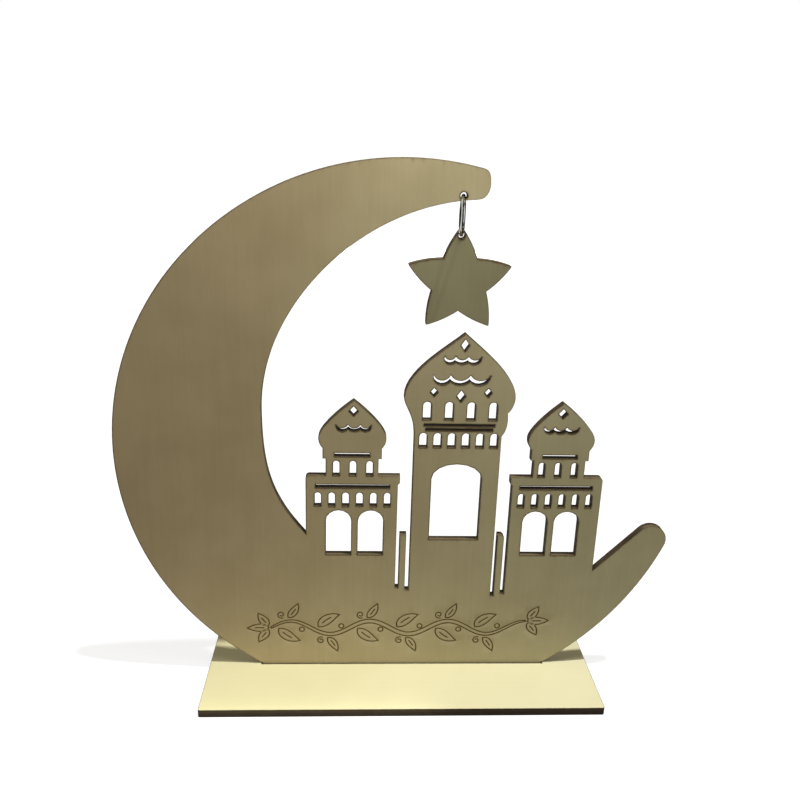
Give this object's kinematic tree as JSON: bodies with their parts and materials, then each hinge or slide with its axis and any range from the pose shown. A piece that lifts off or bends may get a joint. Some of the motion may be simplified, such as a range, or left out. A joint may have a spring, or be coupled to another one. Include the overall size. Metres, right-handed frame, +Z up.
{
  "type": "hanging star table ornament",
  "caption": "Laser-cut plywood crescent with a mosque skyline, standing in a slotted base, with a star hung from its tip on a wire ring.",
  "frame": {"origin": "on the surface that the base stands on, under the middle of the overall width and depth", "axes": "+X along the board to the right as seen from the front, +Y to the back, +Z up; the front face looks along -Y"},
  "size_m": [0.2026, 0.057, 0.193],
  "materials": {
    "base_plywood": "bare sanded plywood, pale cream, with burnt laser-cut edges",
    "board_plywood": "bare sanded plywood, light brown, with burnt laser-cut edges",
    "ring_steel": "bright nickel-plated steel wire",
    "star_plywood": "bare sanded plywood, light brown, with burnt laser-cut edges"
  },
  "bodies": {
    "base": {"base_board": "base_plywood"},
    "board": {"moon_board": "board_plywood"},
    "ring": {"jump_ring": "ring_steel"},
    "star": {"star_pendant": "star_plywood"}
  },
  "joints": [
    {"name": "board_lift", "type": "slide", "parent": "base", "child": "board", "axis": [0, 0, 1], "range_m": [0, 0.0035]},
    {"name": "ring_swing", "type": "hinge", "parent": "board", "child": "ring", "pos_m": [0.01782, 0, 0.18152], "axis": [0, 1, 0], "range_deg": [-75, 28]},
    {"name": "star_swing", "type": "hinge", "parent": "ring", "child": "star", "pos_m": [0.01782, 0, 0.17522], "axis": [0.9816, -0.1908, 0], "range_deg": [-75, 75]}
  ]
}
